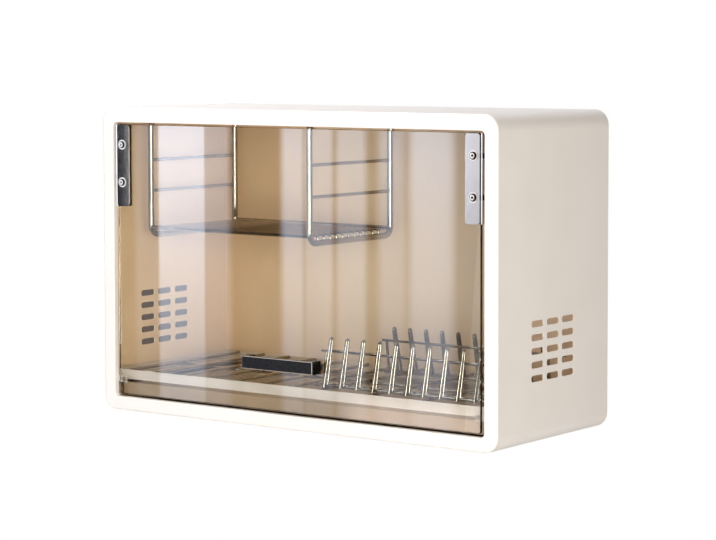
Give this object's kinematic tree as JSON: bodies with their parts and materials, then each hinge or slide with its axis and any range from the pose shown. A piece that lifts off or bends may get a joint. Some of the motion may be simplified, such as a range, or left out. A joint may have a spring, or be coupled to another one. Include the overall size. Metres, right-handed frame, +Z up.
{
  "type": "wall dish drainer cabinet",
  "caption": "Wall dish drainer cabinet: coated steel box with vents, top-hung glass door, hanging cup basket, bowl and plate rack, and a sliding drip tray.",
  "frame": {"origin": "middle of the back face, where the cabinet meets the wall: the centre of the four wall holes", "axes": "+X to the right as seen from the front, +Y into the wall, +Z up"},
  "size_m": [0.7, 0.303, 0.45],
  "materials": {
    "coated_steel": "satin powder coat, warm white",
    "zinc_plated_steel": "zinc plated",
    "bright_stainless_wire": "electropolished",
    "brushed_stainless": "brushed",
    "stainless_fasteners": "bright turned",
    "toughened_glass": "clear, polished edges",
    "black_satin_coat": "satin black",
    "tray_coat": "satin powder coat, beige",
    "black_rubber": "matt",
    "nylon": "natural"
  },
  "bodies": {
    "cabinet": {"casing": "coated_steel", "back_panel": "coated_steel", "door_stop_tabs": "coated_steel", "rack_front_lip": "coated_steel", "rack_rear_lip": "coated_steel", "rack_side_angle_left": "coated_steel", "rack_side_angle_right": "coated_steel", "hinge_bracket_left": "zinc_plated_steel", "hinge_bracket_right": "zinc_plated_steel", "tray_runner_left": "zinc_plated_steel", "tray_runner_right": "zinc_plated_steel", "basket_hangers": "zinc_plated_steel", "rack_rods_left": "bright_stainless_wire", "rack_rods_right": "bright_stainless_wire", "rack_cross_bar": "bright_stainless_wire", "divider_hairpins_front": "bright_stainless_wire", "divider_hairpins_rear": "bright_stainless_wire", "divider_base_rail_front": "bright_stainless_wire", "divider_base_rail_rear": "bright_stainless_wire", "divider_cross_rail_front": "bright_stainless_wire", "divider_cross_rail_rear": "bright_stainless_wire", "divider_posts_front": "bright_stainless_wire", "divider_posts_rear": "bright_stainless_wire", "rest_rail_front": "bright_stainless_wire", "rest_rail_rear": "bright_stainless_wire", "basket_side_frame_left": "bright_stainless_wire", "basket_side_frame_right": "bright_stainless_wire", "basket_side_rails": "bright_stainless_wire", "basket_front_rail": "bright_stainless_wire", "basket_rear_rail": "bright_stainless_wire", "basket_floor_wires": "bright_stainless_wire", "door_bumpers": "black_rubber"},
    "door": {"door_glass": "toughened_glass", "hinge_cover_plate_left": "brushed_stainless", "hinge_cover_plate_right": "brushed_stainless", "hinge_gaskets": "black_rubber", "hinge_leaf_left": "brushed_stainless", "hinge_leaf_right": "brushed_stainless", "hinge_screws": "stainless_fasteners", "hinge_screw_washers": "stainless_fasteners", "hinge_nuts": "zinc_plated_steel", "glass_sleeves": "nylon", "hinge_pins": "stainless_fasteners", "friction_washers": "nylon", "spring_washers": "zinc_plated_steel", "pin_lock_nuts": "zinc_plated_steel", "door_handle": "black_satin_coat", "handle_screws": "zinc_plated_steel", "handle_washers": "zinc_plated_steel"},
    "tray": {"drip_tray": "tray_coat"}
  },
  "joints": [
    {"name": "door_hinge", "type": "hinge", "parent": "cabinet", "child": "door", "pos_m": [0, -0.269, 0.1562], "axis": [-1, 0, 0], "range_deg": [0, 90]},
    {"name": "tray_slide", "type": "slide", "parent": "cabinet", "child": "tray", "axis": [0, -1, 0], "range_m": [0, 0.17]}
  ],
  "couplings": [
    {"joint": "tray_slide", "follows": "door_hinge", "m_per_rad": 0.108}
  ]
}
